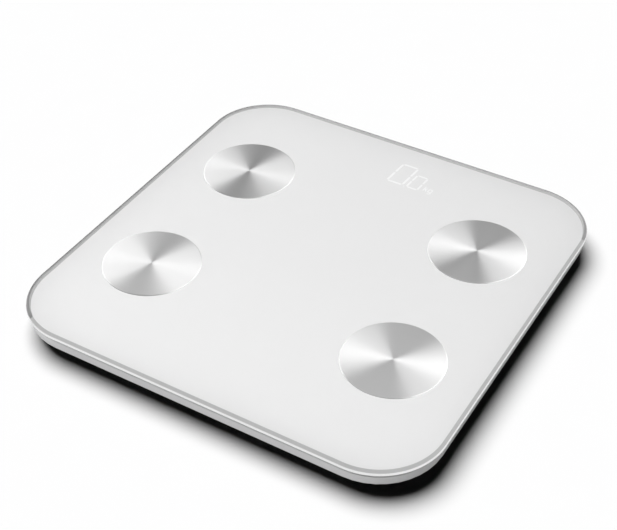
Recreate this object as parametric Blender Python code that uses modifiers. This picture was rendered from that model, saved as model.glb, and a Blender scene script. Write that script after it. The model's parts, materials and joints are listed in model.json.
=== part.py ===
"""Digital bathroom scale: a glass platform on a moulded housing, four load-cell feet,
four body-composition electrodes, an LED display, a battery bay and a unit button.

Metres, +Z up. The origin is on the floor under the middle of the platform. +Y points to the
edge that holds the display, -Y to the user's heels, +X to the user's right.
"""

import math

import bmesh
import bpy
from mathutils import Matrix, Vector

MM = 0.001

# ---------------------------------------------------------------- driving dimensions
# Gaps: pieces that touch keep TOUCH, pieces that move or drop in keep FIT.
TOUCH = 0.3 * MM
FIT = 0.4 * MM

# Glass platform
PLATE_SIDE = 300 * MM
PLATE_CORNER = 45 * MM
GLASS_THICKNESS = 5 * MM
CORNER_STEPS = 10

# Housing
FLOOR_CLEARANCE = 3.2 * MM
HOUSING_WALL = 2 * MM
HOUSING_INSET = 1.8 * MM
SKIRT_HEIGHT = 6.2 * MM
SLOPE_RUN = 13.9 * MM
SKIRT_FILLET = 0.6 * MM
FLANGE_WIDTH = 9 * MM
FLANGE_THICKNESS = 2 * MM
RIB_THICKNESS = 1.6 * MM
RIB_HEIGHT = 3 * MM
RIB_FROM_HOLDER_X = 24 * MM
RIB_FROM_HOLDER_Y = 39 * MM
GLASS_POST_RADIUS = 4 * MM
GLASS_POST_X = 25 * MM
GLASS_POST_FROM_DISPLAY = 44 * MM

# Bonding tape under the rim of the glass
TAPE_THICKNESS = 0.5 * MM
TAPE_SETBACK = 3 * MM
TAPE_WIDTH = 6 * MM

# Electrodes
ELECTRODE_RADIUS = 33.5 * MM
ELECTRODE_THICKNESS = 0.7 * MM
ELECTRODE_EDGE_X = 25 * MM
ELECTRODE_SPREAD_Y = 60.5 * MM
STUD_RADIUS = 2 * MM
STUD_TAIL = 4 * MM
NUT_ACROSS_FLATS = 7 * MM
NUT_THICKNESS = 2.4 * MM

# Feet and load cells
FOOT_EDGE = 45 * MM
FOOT_RADIUS = 22.5 * MM
FOOT_WELL_CLEARANCE = 1 * MM
FOOT_TRAVEL = 0.5 * MM
FOOT_RIM_HEIGHT = 0.9 * MM
FOOT_DISC_THICKNESS = 3.8 * MM
FOOT_POST_RADIUS = 6 * MM
WELL_CEILING = 1.5 * MM
PAD_RADIUS = 19.5 * MM
PAD_THICKNESS = 1.7 * MM
LOAD_CELL_SIDE = 34 * MM
LOAD_CELL_THICKNESS = 1.6 * MM
LOAD_CELL_TONGUE = 14 * MM
LOAD_CELL_SLOT = 2.5 * MM
HOLDER_WALL = 3.7 * MM
HOLDER_TOP = 2 * MM
HOLDER_WINDOW = 22 * MM
HOLDER_NOTCH = 5 * MM

# Batteries and their bay
CELL_COUNT = 3
CELL_DIAMETER = 10.5 * MM
CELL_LENGTH = 44.5 * MM
CELL_NUB_RADIUS = 1.9 * MM
CELL_NUB_LENGTH = 0.9 * MM
CONTACT_ROOM = 3.8 * MM
CONTACT_THICKNESS = 0.4 * MM
CONTACT_HEIGHT = 8 * MM
CONTACT_TAB_RISE = 3 * MM
BAY_WALL = 4 * MM
BAY_CEILING = 1.2 * MM
DOOR_THICKNESS = 1.2 * MM
DOOR_LEDGE = 2.2 * MM
HINGE_BARREL_RADIUS = 0.9 * MM
HINGE_BARREL_LENGTH = 8 * MM
HINGE_SPACING = 30 * MM
LATCH_WIDTH = 9 * MM
LATCH_RISE = 2.2 * MM
LATCH_THICKNESS = 1.2 * MM
FINGER_NOTCH_WIDTH = 15 * MM
FINGER_NOTCH_REACH = 5 * MM
FINGER_NOTCH_DEPTH = 1.1 * MM

# Main board and what stands on it
BOARD_LENGTH = 50 * MM
BOARD_WIDTH = 40 * MM
BOARD_THICKNESS = 1.6 * MM
BOARD_GAP_TO_BAY = 5 * MM
BOARD_BOSS_RADIUS = 3 * MM
BOARD_TOP_DROP = 3.7 * MM
BOARD_SCREW_Y = 10 * MM
CHIP_SIDE = 12 * MM
CHIP_THICKNESS = 1.4 * MM
RADIO_LENGTH = 16 * MM
RADIO_WIDTH = 12 * MM
RADIO_THICKNESS = 2 * MM
SCREW_RADIUS = 1 * MM
SCREW_HEAD_RADIUS = 2 * MM
SCREW_HEAD_HEIGHT = 1.2 * MM
SCREW_LENGTH = 5 * MM

# Unit button on the underside
BUTTON_RADIUS = 4.5 * MM
BUTTON_FLANGE_RADIUS = 6 * MM
BUTTON_FLANGE_THICKNESS = 0.8 * MM
BUTTON_RECESS = 0.2 * MM
BUTTON_STEM_RADIUS = 2 * MM
BUTTON_TRAVEL = 0.8 * MM
BUTTON_FROM_BAY = 18 * MM
SWITCH_SIDE = 6 * MM
SWITCH_BODY = 2 * MM
SWITCH_PLUNGER = 0.7 * MM

# Display
DISPLAY_LENGTH = 76 * MM
DISPLAY_WIDTH = 28 * MM
DISPLAY_EDGE = 36 * MM
DISPLAY_HEIGHT = 5.5 * MM
DISPLAY_FLOOR = 1.2 * MM
DIFFUSER_THICKNESS = 0.4 * MM
DISPLAY_BOARD_LENGTH = 92 * MM
DISPLAY_BOARD_WIDTH = 30 * MM
DISPLAY_SCREW_X = 42 * MM
BIG_DIGIT_WIDTH = 13.6 * MM
BIG_DIGIT_HEIGHT = 24 * MM
BIG_DIGIT_PITCH = 16.9 * MM
SMALL_DIGIT_WIDTH = 10 * MM
SMALL_DIGIT_HEIGHT = 17 * MM
UNIT_WINDOW_WIDTH = 8.6 * MM
DIGIT_WALL = 1.4 * MM
BIG_DIGIT_FIRST_X = -27.4 * MM

# Leads
SENSOR_LEAD_RADIUS = 0.8 * MM
ELECTRODE_LEAD_RADIUS = 0.6 * MM
BATTERY_LEAD_RADIUS = 0.6 * MM
DISPLAY_CABLE_RADIUS = 1.1 * MM
LEAD_SPACING = 4 * MM
LEAD_POINTS_LEAST = 8
LEAD_POINTS_MOST = 28

# ---------------------------------------------------------------- levels worked out from them
pan_bottom = FLOOR_CLEARANCE
pan_top = pan_bottom + HOUSING_WALL
door_top = pan_bottom + DOOR_THICKNESS
cell_axis_z = door_top + TOUCH + CELL_DIAMETER / 2
bay_ceiling_bottom = cell_axis_z + CELL_DIAMETER / 2 + TOUCH
bay_ceiling_top = bay_ceiling_bottom + BAY_CEILING
glass_bottom = bay_ceiling_top + TOUCH
glass_top = glass_bottom + GLASS_THICKNESS
tape_top = glass_bottom - TOUCH
tape_bottom = tape_top - TAPE_THICKNESS
housing_top = tape_bottom - TOUCH
skirt_bottom = housing_top - SKIRT_HEIGHT

well_ceiling_bottom = FOOT_RIM_HEIGHT + FOOT_DISC_THICKNESS + FOOT_TRAVEL + FIT
well_ceiling_top = well_ceiling_bottom + WELL_CEILING
load_cell_bottom = well_ceiling_top + FIT
load_cell_top = load_cell_bottom + LOAD_CELL_THICKNESS
foot_post_top = load_cell_bottom - FOOT_TRAVEL - 0.5 * FIT
holder_top = load_cell_top + TOUCH + HOLDER_TOP

board_top = glass_bottom - BOARD_TOP_DROP
board_bottom = board_top - BOARD_THICKNESS
display_top = glass_bottom - 2 * TOUCH - DIFFUSER_THICKNESS - TOUCH
display_bottom = display_top - DISPLAY_HEIGHT
display_board_top = display_bottom - TOUCH
display_board_bottom = display_board_top - BOARD_THICKNESS

# ---------------------------------------------------------------- places worked out from them
plate_half = PLATE_SIDE / 2
foot_xy = plate_half - FOOT_EDGE
electrode_x = plate_half - ELECTRODE_EDGE_X - ELECTRODE_RADIUS
display_y = plate_half - DISPLAY_EDGE
holder_half = LOAD_CELL_SIDE / 2 + TOUCH + HOLDER_WALL
rib_x = foot_xy - holder_half - RIB_FROM_HOLDER_X
rib_y = foot_xy - holder_half - RIB_FROM_HOLDER_Y

bay_half_x = CELL_LENGTH / 2 + CONTACT_ROOM
cell_pitch = CELL_DIAMETER + 2 * TOUCH
bay_half_y = CELL_COUNT * cell_pitch / 2 + TOUCH
tub_half_x = bay_half_x + BAY_WALL
tub_half_y = bay_half_y + BAY_WALL
door_half_x = bay_half_x + DOOR_LEDGE
door_half_y = bay_half_y + DOOR_LEDGE
hinge_y = door_half_y
hinge_z = pan_bottom + HINGE_BARREL_RADIUS

glass_post_y = display_y - GLASS_POST_FROM_DISPLAY

board_min_x = tub_half_x + BOARD_GAP_TO_BAY
board_mid_x = board_min_x + BOARD_LENGTH / 2
board_max_x = board_min_x + BOARD_LENGTH
board_half_y = BOARD_WIDTH / 2
button_x = tub_half_x + BUTTON_FROM_BAY
board_screw_inset = BOARD_BOSS_RADIUS + 1 * MM

SIDES = (("front_left", -1, -1), ("front_right", 1, -1), ("back_left", -1, 1), ("back_right", 1, 1))


# ---------------------------------------------------------------- scene and materials
def clear_scene():
    for scene_object in list(bpy.data.objects):
        bpy.data.objects.remove(scene_object, do_unlink=True)


def new_collection(name):
    collection = bpy.data.collections.new(name)
    bpy.context.scene.collection.children.link(collection)
    return collection


def finish(name, colour, roughness, metallic=0.0):
    material = bpy.data.materials.new(name)
    material.use_nodes = True
    shader = material.node_tree.nodes["Principled BSDF"]
    shader.inputs["Base Color"].default_value = (*colour, 1.0)
    shader.inputs["Roughness"].default_value = roughness
    shader.inputs["Metallic"].default_value = metallic
    return material


clear_scene()
parts = new_collection("digital_bathroom_scale")
cutters = new_collection("cutters")

glass_white = finish("glass_white", (0.80, 0.80, 0.80), 0.08)
tape_grey = finish("tape_grey", (0.12, 0.12, 0.12), 0.8)
housing_white = finish("housing_white", (0.62, 0.62, 0.62), 0.4)
electrode_steel = finish("electrode_steel", (0.62, 0.62, 0.62), 0.28, 1.0)
zinc_steel = finish("zinc_steel", (0.55, 0.55, 0.56), 0.4, 1.0)
cell_steel = finish("cell_steel", (0.50, 0.50, 0.51), 0.35, 1.0)
holder_grey = finish("holder_grey", (0.30, 0.30, 0.31), 0.5)
foot_white = finish("foot_white", (0.66, 0.66, 0.66), 0.45)
pad_rubber = finish("pad_rubber", (0.09, 0.09, 0.09), 0.85)
board_green = finish("board_green", (0.02, 0.12, 0.06), 0.45)
chip_black = finish("chip_black", (0.02, 0.02, 0.02), 0.4)
display_white = finish("display_white", (0.85, 0.85, 0.85), 0.5)
diffuser_white = finish("diffuser_white", (0.9, 0.9, 0.9), 0.3)
battery_jacket = finish("battery_jacket", (0.08, 0.09, 0.11), 0.3, 0.4)
contact_nickel = finish("contact_nickel", (0.6, 0.58, 0.54), 0.3, 1.0)
button_grey = finish("button_grey", (0.42, 0.42, 0.43), 0.5)
lead_black = finish("lead_black", (0.02, 0.02, 0.02), 0.5)
lead_red = finish("lead_red", (0.45, 0.02, 0.02), 0.5)
lead_white = finish("lead_white", (0.7, 0.7, 0.7), 0.5)


# ---------------------------------------------------------------- building blocks
def place(name, mesh, material, collection):
    piece = bpy.data.objects.new(name, mesh)
    if material is not None:
        mesh.materials.clear()
        mesh.materials.append(material)
    collection.objects.link(piece)
    if collection is cutters:
        piece.hide_render = True
        piece.display_type = "WIRE"
    return piece


def mesh_of(bm, name):
    mesh = bpy.data.meshes.new(name)
    bm.normal_update()
    bm.to_mesh(mesh)
    bm.free()
    return mesh


def add_box(bm, low, high):
    size = [b - a for a, b in zip(low, high)]
    middle = [(a + b) / 2 for a, b in zip(low, high)]
    bmesh.ops.create_cube(bm, matrix=Matrix.Translation(middle) @ Matrix.Diagonal((*size, 1)))


def add_cylinder(bm, centre, radius, z_low, z_high, segments=24):
    middle = Vector((centre[0], centre[1], (z_low + z_high) / 2))
    bmesh.ops.create_cone(bm, cap_ends=True, segments=segments, radius1=radius, radius2=radius,
                          depth=z_high - z_low, matrix=Matrix.Translation(middle))


def boxes(name, corners, material=None, collection=None):
    bm = bmesh.new()
    for low, high in corners:
        add_box(bm, low, high)
    return place(name, mesh_of(bm, name), material, collection or parts)


def cylinders(name, centres, radius, z_low, z_high, segments=24, material=None, collection=None):
    bm = bmesh.new()
    for centre in centres:
        add_cylinder(bm, centre, radius, z_low, z_high, segments)
    return place(name, mesh_of(bm, name), material, collection or parts)


def rounded_points(half_x, half_y, corner, steps=CORNER_STEPS, centre=(0, 0)):
    """A rectangle with round corners, counterclockwise from the middle of the right side."""
    points = []
    for quarter, (sx, sy) in enumerate(((1, 1), (-1, 1), (-1, -1), (1, -1))):
        for step in range(steps + 1):
            angle = math.radians(90 * (quarter + step / steps))
            x = centre[0] + sx * (half_x - corner) + corner * math.cos(angle)
            y = centre[1] + sy * (half_y - corner) + corner * math.sin(angle)
            points.append((x, y))
    return points


def circle_points(centre, radius, steps=16):
    return [(centre[0] + radius * math.cos(2 * math.pi * i / steps),
             centre[1] + radius * math.sin(2 * math.pi * i / steps)) for i in range(steps)]


def curve_mesh(curve_object):
    """The curve's mesh with its caps welded; the curve is removed."""
    bpy.context.view_layer.update()
    evaluated = curve_object.evaluated_get(bpy.context.evaluated_depsgraph_get())
    mesh = bpy.data.meshes.new_from_object(evaluated)
    bm = bmesh.new()
    bm.from_mesh(mesh)
    bm.transform(curve_object.matrix_world)
    bmesh.ops.remove_doubles(bm, verts=bm.verts, dist=0.00001)
    bmesh.ops.recalc_face_normals(bm, faces=bm.faces)
    bpy.data.meshes.remove(mesh)
    curve = curve_object.data
    bpy.data.objects.remove(curve_object)
    bpy.data.curves.remove(curve)
    return bm


def plate(name, outlines, z_low, z_high, material=None, collection=None, edge_round=0.0, steps=3):
    """A flat piece: the first outline is its edge, the others are holes through it."""
    curve = bpy.data.curves.new(name, "CURVE")
    curve.dimensions = "2D"
    curve.fill_mode = "BOTH"
    curve.extrude = (z_high - z_low) / 2 - edge_round
    curve.bevel_depth = edge_round
    curve.bevel_resolution = steps
    curve.offset = -edge_round
    for outline in outlines:
        spline = curve.splines.new("POLY")
        spline.points.add(len(outline) - 1)
        spline.use_cyclic_u = True
        for point, (x, y) in zip(spline.points, outline):
            point.co = (x, y, 0, 1)
    guide = bpy.data.objects.new(name + "_outline", curve)
    guide.location.z = (z_low + z_high) / 2
    cutters.objects.link(guide)
    return place(name, mesh_of(curve_mesh(guide), name), material, collection or parts)


def turned(name, profile, centre, material, segments=32):
    """A solid turned round the vertical through centre; the profile runs down its outer side."""
    bm = bmesh.new()
    verts = [bm.verts.new((radius, 0, z)) for radius, z in profile]
    for first, second in zip(verts, verts[1:]):
        bm.edges.new((first, second))
    piece = place(name, mesh_of(bm, name), material, parts)
    piece.location = (centre[0], centre[1], 0)
    screw = piece.modifiers.new("turn", "SCREW")
    screw.axis = "Z"
    screw.angle = math.radians(360)
    screw.steps = segments
    screw.render_steps = segments
    screw.use_merge_vertices = True
    screw.merge_threshold = 0.00001
    screw.use_normal_calculate = False
    return piece


def lead(name, route, radius, material):
    """A wire along a smooth curve through its route's points."""
    length = sum((Vector(b) - Vector(a)).length for a, b in zip(route, route[1:]))
    count = max(LEAD_POINTS_LEAST, min(LEAD_POINTS_MOST, round(length / (6 * radius))))
    curve = bpy.data.curves.new(name, "CURVE")
    curve.dimensions = "3D"
    curve.bevel_depth = radius
    curve.bevel_resolution = 2
    curve.use_fill_caps = True
    points = smooth_route([Vector(p) for p in route], count)
    spline = curve.splines.new("POLY")
    spline.points.add(len(points) - 1)
    for target, point in zip(spline.points, points):
        target.co = (*point, 1)
    guide = bpy.data.objects.new(name + "_route", curve)
    cutters.objects.link(guide)
    return place(name, mesh_of(curve_mesh(guide), name), material, parts)


def smooth_route(knots, count):
    """Evenly spaced points on the Catmull-Rom curve through the knots."""
    padded = [2 * knots[0] - knots[1], *knots, 2 * knots[-1] - knots[-2]]
    fine = []
    for p0, p1, p2, p3 in zip(padded, padded[1:], padded[2:], padded[3:]):
        for step in range(12):
            t = step / 12
            fine.append(0.5 * (2 * p1 + (p2 - p0) * t + (2 * p0 - 5 * p1 + 4 * p2 - p3) * t * t
                               + (3 * p1 - 3 * p2 + p3 - p0) * t * t * t))
    fine.append(knots[-1])
    travelled = [0.0]
    for first, second in zip(fine, fine[1:]):
        travelled.append(travelled[-1] + (second - first).length)
    points = []
    index = 0
    for step in range(count):
        goal = travelled[-1] * step / (count - 1)
        while index < len(fine) - 2 and travelled[index + 1] < goal:
            index += 1
        share = (goal - travelled[index]) / (travelled[index + 1] - travelled[index])
        points.append(fine[index].lerp(fine[index + 1], min(max(share, 0), 1)))
    return points


def boolean(target, tool, operation):
    step = target.modifiers.new(operation.lower() + "_" + tool.name, "BOOLEAN")
    step.operation = operation
    step.solver = "EXACT"
    step.object = tool


def cut(target, tool):
    boolean(target, tool, "DIFFERENCE")


def join(target, tool):
    boolean(target, tool, "UNION")


def smooth(piece, degrees=35):
    piece.data.shade_smooth()
    piece.data.set_sharp_from_angle(angle=math.radians(degrees))


def soften(piece, width, segments=2):
    bevel = piece.modifiers.new("soften", "BEVEL")
    bevel.width = width
    bevel.segments = segments
    bevel.limit_method = "ANGLE"
    bevel.angle_limit = math.radians(40)


# ---------------------------------------------------------------- platform
def build_platform():
    outline = rounded_points(plate_half, plate_half, PLATE_CORNER)
    glass = plate("glass_platform", [outline], glass_bottom, glass_top, glass_white,
                  edge_round=GLASS_THICKNESS / 2 - 0.01 * MM, steps=2)
    stud_holes = cylinders("stud_holes", [(sx * electrode_x, sy * ELECTRODE_SPREAD_Y) for _, sx, sy in SIDES],
                           STUD_RADIUS + 1 * MM, glass_bottom - 1 * MM, glass_top + 1 * MM,
                           segments=16, collection=cutters)
    cut(glass, stud_holes)
    smooth(glass)

    outer = plate_half - HOUSING_INSET - TAPE_SETBACK
    inner = outer - TAPE_WIDTH
    corner = PLATE_CORNER - (plate_half - outer)
    plate("bond_tape", [rounded_points(outer, outer, corner),
                        rounded_points(inner, inner, corner - TAPE_WIDTH)],
          tape_bottom, tape_top, tape_grey)


def build_electrodes():
    disc_bottom = glass_top + TOUCH
    disc_top = disc_bottom + ELECTRODE_THICKNESS
    edge = ELECTRODE_THICKNESS / 2
    nut_top = glass_bottom - TOUCH
    nut_bottom = nut_top - NUT_THICKNESS
    for side, sx, sy in SIDES:
        centre = (sx * electrode_x, sy * ELECTRODE_SPREAD_Y)
        disc = turned("electrode_" + side, [
            (0, disc_top), (ELECTRODE_RADIUS - edge, disc_top), (ELECTRODE_RADIUS, disc_top - edge),
            (ELECTRODE_RADIUS, disc_bottom), (STUD_RADIUS, disc_bottom),
            (STUD_RADIUS, glass_bottom - STUD_TAIL), (0, glass_bottom - STUD_TAIL)],
            centre, electrode_steel, segments=40)
        smooth(disc)
        corner_radius = NUT_ACROSS_FLATS / math.sqrt(3)
        plate("electrode_nut_" + side,
              [circle_points(centre, corner_radius, 6), circle_points(centre, STUD_RADIUS + TOUCH, 16)],
              nut_bottom, nut_top, zinc_steel)


# ---------------------------------------------------------------- housing
def housing_shell():
    """The tray: an open surface of rounded rings, thickened inwards."""
    fillet = SKIRT_FILLET
    rings = [
        (0, housing_top), (0, skirt_bottom + fillet), (0.3 * fillet, skirt_bottom + 0.3 * fillet),
        (fillet, skirt_bottom), (SLOPE_RUN, pan_bottom),
    ]
    bm = bmesh.new()
    loops = []
    for inset, z in rings:
        half = plate_half - HOUSING_INSET - inset
        corner = PLATE_CORNER - HOUSING_INSET - inset
        loops.append([bm.verts.new((x, y, z)) for x, y in rounded_points(half, half, corner)])
    for upper, lower in zip(loops, loops[1:]):
        for i in range(len(upper)):
            k = (i + 1) % len(upper)
            bm.faces.new((lower[i], lower[k], upper[k], upper[i]))
    bm.faces.new(reversed(loops[-1]))
    housing = place("bottom_housing", mesh_of(bm, "bottom_housing"), housing_white, parts)
    shell = housing.modifiers.new("wall", "SOLIDIFY")
    shell.thickness = HOUSING_WALL
    shell.offset = -1
    shell.use_even_offset = True
    return housing


def build_housing():
    housing = housing_shell()
    root = pan_bottom + HOUSING_WALL / 2

    flange_outer = plate_half - HOUSING_INSET - HOUSING_WALL / 2
    flange_inner = flange_outer - FLANGE_WIDTH
    flange_corner = PLATE_CORNER - (plate_half - flange_outer)
    flange_top = housing_top - 0.1 * MM
    join(housing, plate("flange", [rounded_points(flange_outer, flange_outer, flange_corner),
                                   rounded_points(flange_inner, flange_inner, flange_corner - FLANGE_WIDTH)],
                        flange_top - FLANGE_THICKNESS, flange_top, collection=cutters))

    rib_end = plate_half - HOUSING_INSET - SLOPE_RUN - 1 * MM
    rib_half = RIB_THICKNESS / 2
    rib_top = pan_top + RIB_HEIGHT
    for sign in (-1, 1):
        side = "left" if sign < 0 else "right"
        end = "front" if sign < 0 else "back"
        x = sign * rib_x
        y = sign * rib_y
        join(housing, boxes("rib_" + side, [((x - rib_half, -rib_end, root),
                                             (x + rib_half, rib_end, rib_top))], collection=cutters))
        join(housing, boxes("rib_" + end, [((-rib_end + 0.3 * MM, y - rib_half, root + 0.1 * MM),
                                            (rib_end - 0.3 * MM, y + rib_half, rib_top - 0.2 * MM))],
                            collection=cutters))

    foot_centres = [(sx * foot_xy, sy * foot_xy) for _, sx, sy in SIDES]
    well_radius = FOOT_RADIUS + FOOT_WELL_CLEARANCE
    join(housing, cylinders("well_bosses", foot_centres, well_radius + HOUSING_WALL, root,
                            well_ceiling_top, segments=40, collection=cutters))
    cut(housing, cylinders("foot_wells", foot_centres, well_radius, pan_bottom - 1 * MM,
                           well_ceiling_bottom, segments=40, collection=cutters))
    cut(housing, cylinders("foot_post_holes", foot_centres, FOOT_POST_RADIUS + 1.5 * MM,
                           well_ceiling_bottom - 1 * MM, well_ceiling_top + 1 * MM, collection=cutters))

    join(housing, boxes("bay_block", [((-tub_half_x, -tub_half_y, root),
                                       (tub_half_x, tub_half_y, bay_ceiling_top))], collection=cutters))
    cut(housing, boxes("bay_hollow", [((-bay_half_x, -bay_half_y, pan_bottom - 1 * MM),
                                       (bay_half_x, bay_half_y, bay_ceiling_bottom))], collection=cutters))
    recess_top = door_top + TOUCH
    barrel_room = HINGE_BARREL_RADIUS + FIT
    cut(housing, boxes("door_recess", [((-door_half_x - FIT, -door_half_y - FIT, pan_bottom - 1 * MM),
                                        (door_half_x + FIT, hinge_y + barrel_room, recess_top))],
                       collection=cutters))
    hinge_half = HINGE_BARREL_LENGTH / 2 + FIT
    cut(housing, boxes("hinge_pockets", [
        ((sign * HINGE_SPACING / 2 - hinge_half, hinge_y - barrel_room, pan_bottom - 1 * MM),
         (sign * HINGE_SPACING / 2 + hinge_half, hinge_y + barrel_room, hinge_z + barrel_room))
        for sign in (-1, 1)], collection=cutters))
    latch_y = -door_half_y
    cut(housing, boxes("latch_pocket", [((-LATCH_WIDTH / 2 - FIT, latch_y - FIT, pan_bottom - 0.5 * MM),
                                         (LATCH_WIDTH / 2 + FIT, latch_y + LATCH_THICKNESS + 2 * FIT,
                                          door_top + LATCH_RISE + FIT))], collection=cutters))
    cut(housing, boxes("finger_notch", [((-FINGER_NOTCH_WIDTH / 2, latch_y - FINGER_NOTCH_REACH,
                                          pan_bottom - 0.8 * MM),
                                         (FINGER_NOTCH_WIDTH / 2, latch_y + 0.2 * MM,
                                          pan_bottom + FINGER_NOTCH_DEPTH))], collection=cutters))
    lead_hole = BATTERY_LEAD_RADIUS + 2 * FIT
    cut(housing, boxes("battery_lead_holes", [
        ((sign * tub_half_x - BAY_WALL - 1 * MM, -sign * cell_pitch - lead_hole, battery_lead_z - lead_hole),
         (sign * tub_half_x + BAY_WALL + 1 * MM, -sign * cell_pitch + lead_hole, battery_lead_z + lead_hole))
        for sign in (-1, 1)], collection=cutters))

    cut(housing, cylinders("button_hole", [(button_x, 0)], BUTTON_RADIUS + FIT, pan_bottom - 1 * MM,
                           pan_top + 1 * MM, collection=cutters))

    posts = [(sx * GLASS_POST_X, sy * glass_post_y) for _, sx, sy in SIDES]
    join(housing, cylinders("glass_posts", posts, GLASS_POST_RADIUS, root, glass_bottom - TOUCH,
                            segments=16, collection=cutters))
    join(housing, cylinders("board_bosses", board_screws(), BOARD_BOSS_RADIUS, root,
                            board_bottom - TOUCH, segments=16, collection=cutters))
    join(housing, cylinders("display_bosses", display_screws(), BOARD_BOSS_RADIUS, root,
                            display_board_bottom - TOUCH, segments=16, collection=cutters))
    cut(housing, cylinders("board_screw_holes", board_screws(), SCREW_RADIUS + TOUCH,
                           board_top - SCREW_LENGTH - 1 * MM, board_bottom + 1 * MM,
                           segments=12, collection=cutters))
    cut(housing, cylinders("display_screw_holes", display_screws(), SCREW_RADIUS + TOUCH,
                           max(display_board_top - SCREW_LENGTH - 1 * MM, root),
                           display_board_bottom + 1 * MM, segments=12, collection=cutters))
    smooth(housing)


def board_screws():
    return [(board_min_x + board_screw_inset, BOARD_SCREW_Y),
            (board_max_x - board_screw_inset, -BOARD_SCREW_Y)]


def display_screws():
    return [(-DISPLAY_SCREW_X, display_y), (DISPLAY_SCREW_X, display_y)]


# ---------------------------------------------------------------- feet and load cells
def build_feet():
    rim = FOOT_RIM_HEIGHT
    disc_top = rim + FOOT_DISC_THICKNESS
    soft = 0.6 * MM
    pad_recess = PAD_RADIUS + TOUCH
    for side, sx, sy in SIDES:
        centre = (sx * foot_xy, sy * foot_xy)
        foot = turned("foot_" + side, [
            (0, foot_post_top), (FOOT_POST_RADIUS, foot_post_top), (FOOT_POST_RADIUS, disc_top),
            (FOOT_RADIUS - soft, disc_top), (FOOT_RADIUS, disc_top - soft),
            (FOOT_RADIUS, rim + soft), (FOOT_RADIUS - soft, rim), (pad_recess, rim),
            (pad_recess, PAD_THICKNESS + TOUCH), (0, PAD_THICKNESS + TOUCH)],
            centre, foot_white)
        smooth(foot)
        pad = turned("foot_pad_" + side, [
            (0, PAD_THICKNESS), (PAD_RADIUS, PAD_THICKNESS), (PAD_RADIUS, soft),
            (PAD_RADIUS - soft, 0), (0, 0)],
            centre, pad_rubber)
        smooth(pad)


def build_load_cells():
    half = LOAD_CELL_SIDE / 2
    tongue_half = LOAD_CELL_TONGUE / 2
    slot = LOAD_CELL_SLOT
    far = half - 5 * MM
    near = -half + 7 * MM
    window = HOLDER_WINDOW / 2
    for side, sx, sy in SIDES:
        x, y = sx * foot_xy, sy * foot_xy
        outer = [(-half, -half), (half, -half), (half, half), (-half, half)]
        u_slot = [(-tongue_half - slot, near), (-tongue_half, near), (-tongue_half, far - slot),
                  (tongue_half, far - slot), (tongue_half, near), (tongue_half + slot, near),
                  (tongue_half + slot, far), (-tongue_half - slot, far)]
        plate("load_cell_" + side,
              [[(x + px, y + py * sy) for px, py in outline] for outline in (outer, u_slot)],
              load_cell_bottom, load_cell_top, cell_steel)

        holder = plate("load_cell_holder_" + side,
                       [rounded_points(holder_half, holder_half, 4 * MM, 4, (x, y)),
                        [(x - window, y - window), (x + window, y - window),
                         (x + window, y + window), (x - window, y + window)]],
                       load_cell_bottom - 0.1 * MM, holder_top, holder_grey)
        pocket = half + TOUCH
        notch_side = -sy
        notch = sorted((y + notch_side * (pocket - 1 * MM), y + notch_side * (holder_half + 1 * MM)))
        pocket_cutter = boxes("holder_pocket_" + side, [
            ((x - pocket, y - pocket, load_cell_bottom - 1 * MM),
             (x + pocket, y + pocket, load_cell_top + TOUCH))], collection=cutters)
        notch_cutter = boxes("holder_notch_" + side, [
            ((x - HOLDER_NOTCH / 2, notch[0], load_cell_bottom - 1 * MM),
             (x + HOLDER_NOTCH / 2, notch[1], load_cell_top + 3 * TOUCH))], collection=cutters)
        cut(holder, pocket_cutter)
        cut(holder, notch_cutter)


# ---------------------------------------------------------------- batteries
def build_batteries():
    radius = CELL_DIAMETER / 2
    half = CELL_LENGTH / 2
    shoulder = 0.6 * MM
    for index in range(CELL_COUNT):
        sign = 1 if index % 2 == 0 else -1
        cell = turned("battery_" + str(index + 1), [
            (0, half), (CELL_NUB_RADIUS, half), (CELL_NUB_RADIUS, half - CELL_NUB_LENGTH),
            (radius - shoulder, half - CELL_NUB_LENGTH), (radius, half - CELL_NUB_LENGTH - shoulder),
            (radius, -half + shoulder), (radius - shoulder, -half), (0, -half)],
            (0, 0), battery_jacket, segments=24)
        cell.rotation_euler = (0, sign * math.radians(90), 0)
        cell.location = (0, (index - (CELL_COUNT - 1) / 2) * cell_pitch, cell_axis_z)
        smooth(cell)


def leaf_contact(name, sign, first_cell, last_cell):
    """A bent strip between the bay's end wall and the cells it touches."""
    wall_x = bay_half_x - TOUCH - CONTACT_THICKNESS
    tip_x = CELL_LENGTH / 2 + TOUCH + CONTACT_THICKNESS
    half_width = CELL_DIAMETER / 2 - 1 * MM
    low_y = (first_cell - (CELL_COUNT - 1) / 2) * cell_pitch - half_width
    high_y = (last_cell - (CELL_COUNT - 1) / 2) * cell_pitch + half_width
    bm = bmesh.new()
    columns = []
    rows = 9
    for row in range(rows):
        share = row / (rows - 1)
        z = cell_axis_z + (share - 0.5) * CONTACT_HEIGHT
        bulge = math.sin(math.pi * share) ** 2
        x = sign * (wall_x + (tip_x - wall_x) * bulge)
        columns.append((bm.verts.new((x, low_y, z)), bm.verts.new((x, high_y, z))))
    for (a, b), (c, d) in zip(columns, columns[1:]):
        bm.faces.new((a, b, d, c) if sign > 0 else (b, a, c, d))
    contact = place(name, mesh_of(bm, name), contact_nickel, parts)
    strip = contact.modifiers.new("strip", "SOLIDIFY")
    strip.thickness = CONTACT_THICKNESS
    strip.offset = 1
    return contact


def build_contacts():
    leaf_contact("battery_contact_positive", 1, 0, 0)
    leaf_contact("battery_contact_bridge_right", 1, 1, 2)
    leaf_contact("battery_contact_bridge_left", -1, 0, 1)
    leaf_contact("battery_contact_negative", -1, 2, 2)


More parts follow.
